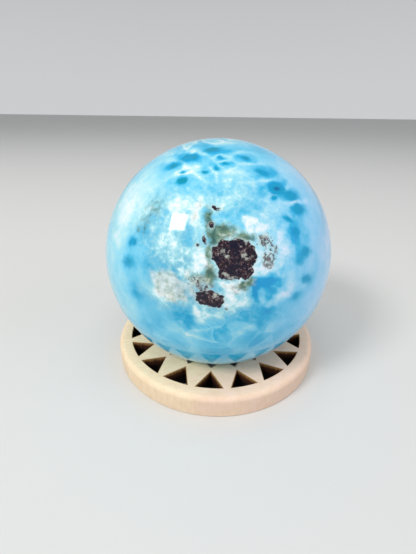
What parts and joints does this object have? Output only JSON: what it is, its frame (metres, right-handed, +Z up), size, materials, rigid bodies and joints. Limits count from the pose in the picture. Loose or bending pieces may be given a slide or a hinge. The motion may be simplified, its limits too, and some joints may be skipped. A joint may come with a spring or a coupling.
{
  "type": "decorative stone sphere on a wooden ring stand",
  "caption": "Polished blue stone ball with white clouds and dark inclusions, resting in a flat pale wooden ring stand pierced by a ring of triangular rays.",
  "frame": {"origin": "centre of the stand's underside, on the surface it stands on", "axes": "+Z up through the centre of the ball; -Y is the front, where one ray of the stand points and the dark inclusions face"},
  "size_m": [0.0616, 0.0616, 0.0624],
  "materials": {
    "blue_stone": "high polish",
    "pale_wood": "sanded, bare"
  },
  "bodies": {
    "root": {"stone_ball": "blue_stone", "ring_stand": "pale_wood"}
  },
  "joints": []
}
